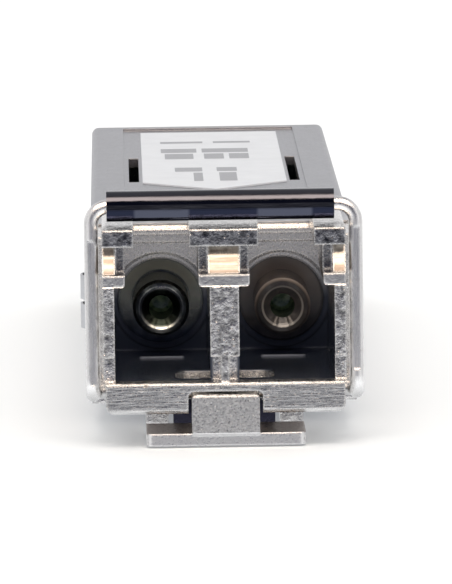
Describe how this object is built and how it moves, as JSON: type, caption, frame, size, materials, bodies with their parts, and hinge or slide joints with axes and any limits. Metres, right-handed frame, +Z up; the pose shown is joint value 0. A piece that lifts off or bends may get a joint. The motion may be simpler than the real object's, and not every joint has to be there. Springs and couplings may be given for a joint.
{
  "type": "optical transceiver module",
  "caption": "Slim metal pluggable optical module: duplex fibre ports in a cast nose, a swinging wire bail with a dark sleeve, a latch rocker below and an edge connector at the rear.",
  "frame": {"origin": "middle of the module's overall box, at the lowest face of the latch rocker's foot", "axes": "+X across the module, to the right as the ports are seen; +Y from the ports to the edge contacts; +Z up, towards the label"},
  "size_m": [0.0146, 0.0564, 0.0128],
  "materials": {
    "cast_nickel": "nickel-plated die-cast zinc, fine cast grain with a brushed bar",
    "shell_nickel": "nickel-plated zinc, satin",
    "rocker_nickel": "nickel-plated die-cast zinc, sand-blasted look",
    "spring_steel": "plated spring steel, smooth",
    "wire_steel": "plain steel wire, satin",
    "sleeve_plastic": "near-black moulded sleeve, glossy",
    "tx_barrel_metal": "dark turned metal",
    "amber_plastic": "amber resin, slightly translucent",
    "stub_glass": "polished glass face",
    "can_metal": "plated can, satin",
    "gold": "gold plating",
    "flex_film": "polyimide film",
    "board_resin": "green solder mask",
    "chip_plastic": "black moulding",
    "ceramic": "tan ceramic",
    "resistor_body": "dark ceramic",
    "ferrite": "grey ferrite",
    "pad_rubber": "soft blue-grey gap pad",
    "label_film": "printed film, light grey bars"
  },
  "bodies": {
    "shell": {"base_housing": "cast_nickel", "top_cover": "shell_nickel", "emi_collar": "spring_steel", "rocker_pin": "wire_steel", "latch_spring": "spring_steel", "tx_barrel": "tx_barrel_metal", "rx_barrel": "amber_plastic", "tx_stub": "stub_glass", "rx_stub": "stub_glass", "tx_can": "can_metal", "rx_can": "can_metal", "tx_header": "can_metal", "rx_header": "can_metal", "tx_leads": "gold", "rx_leads": "gold", "tx_flex": "flex_film", "rx_flex": "flex_film", "optics_clamp": "spring_steel", "circuit_board": "board_resin", "contacts_top": "gold", "contacts_bottom": "gold", "laser_driver": "chip_plastic", "receive_amplifier": "chip_plastic", "controller": "chip_plastic", "memory_chip": "chip_plastic", "capacitors": "ceramic", "resistors": "resistor_body", "inductors": "ferrite", "thermal_pad": "pad_rubber", "top_label": "label_film", "bottom_label": "label_film"},
    "bail": {"bail_wire": "wire_steel", "bail_sleeve": "sleeve_plastic"},
    "rocker": {"latch_rocker": "rocker_nickel"}
  },
  "joints": [
    {"name": "bail_hinge", "type": "hinge", "parent": "shell", "child": "bail", "pos_m": [0, -0.0253, 0.00241], "axis": [1, 0, 0], "range_deg": [0, 90]},
    {"name": "rocker_pivot", "type": "hinge", "parent": "shell", "child": "rocker", "pos_m": [0, -0.02175, 0.00108], "axis": [1, 0, 0], "range_deg": [0, 6.5], "deforming": ["latch_spring"]}
  ],
  "couplings": [
    {"joint": "rocker_pivot", "follows": "bail_hinge", "ratio": 0.07}
  ]
}
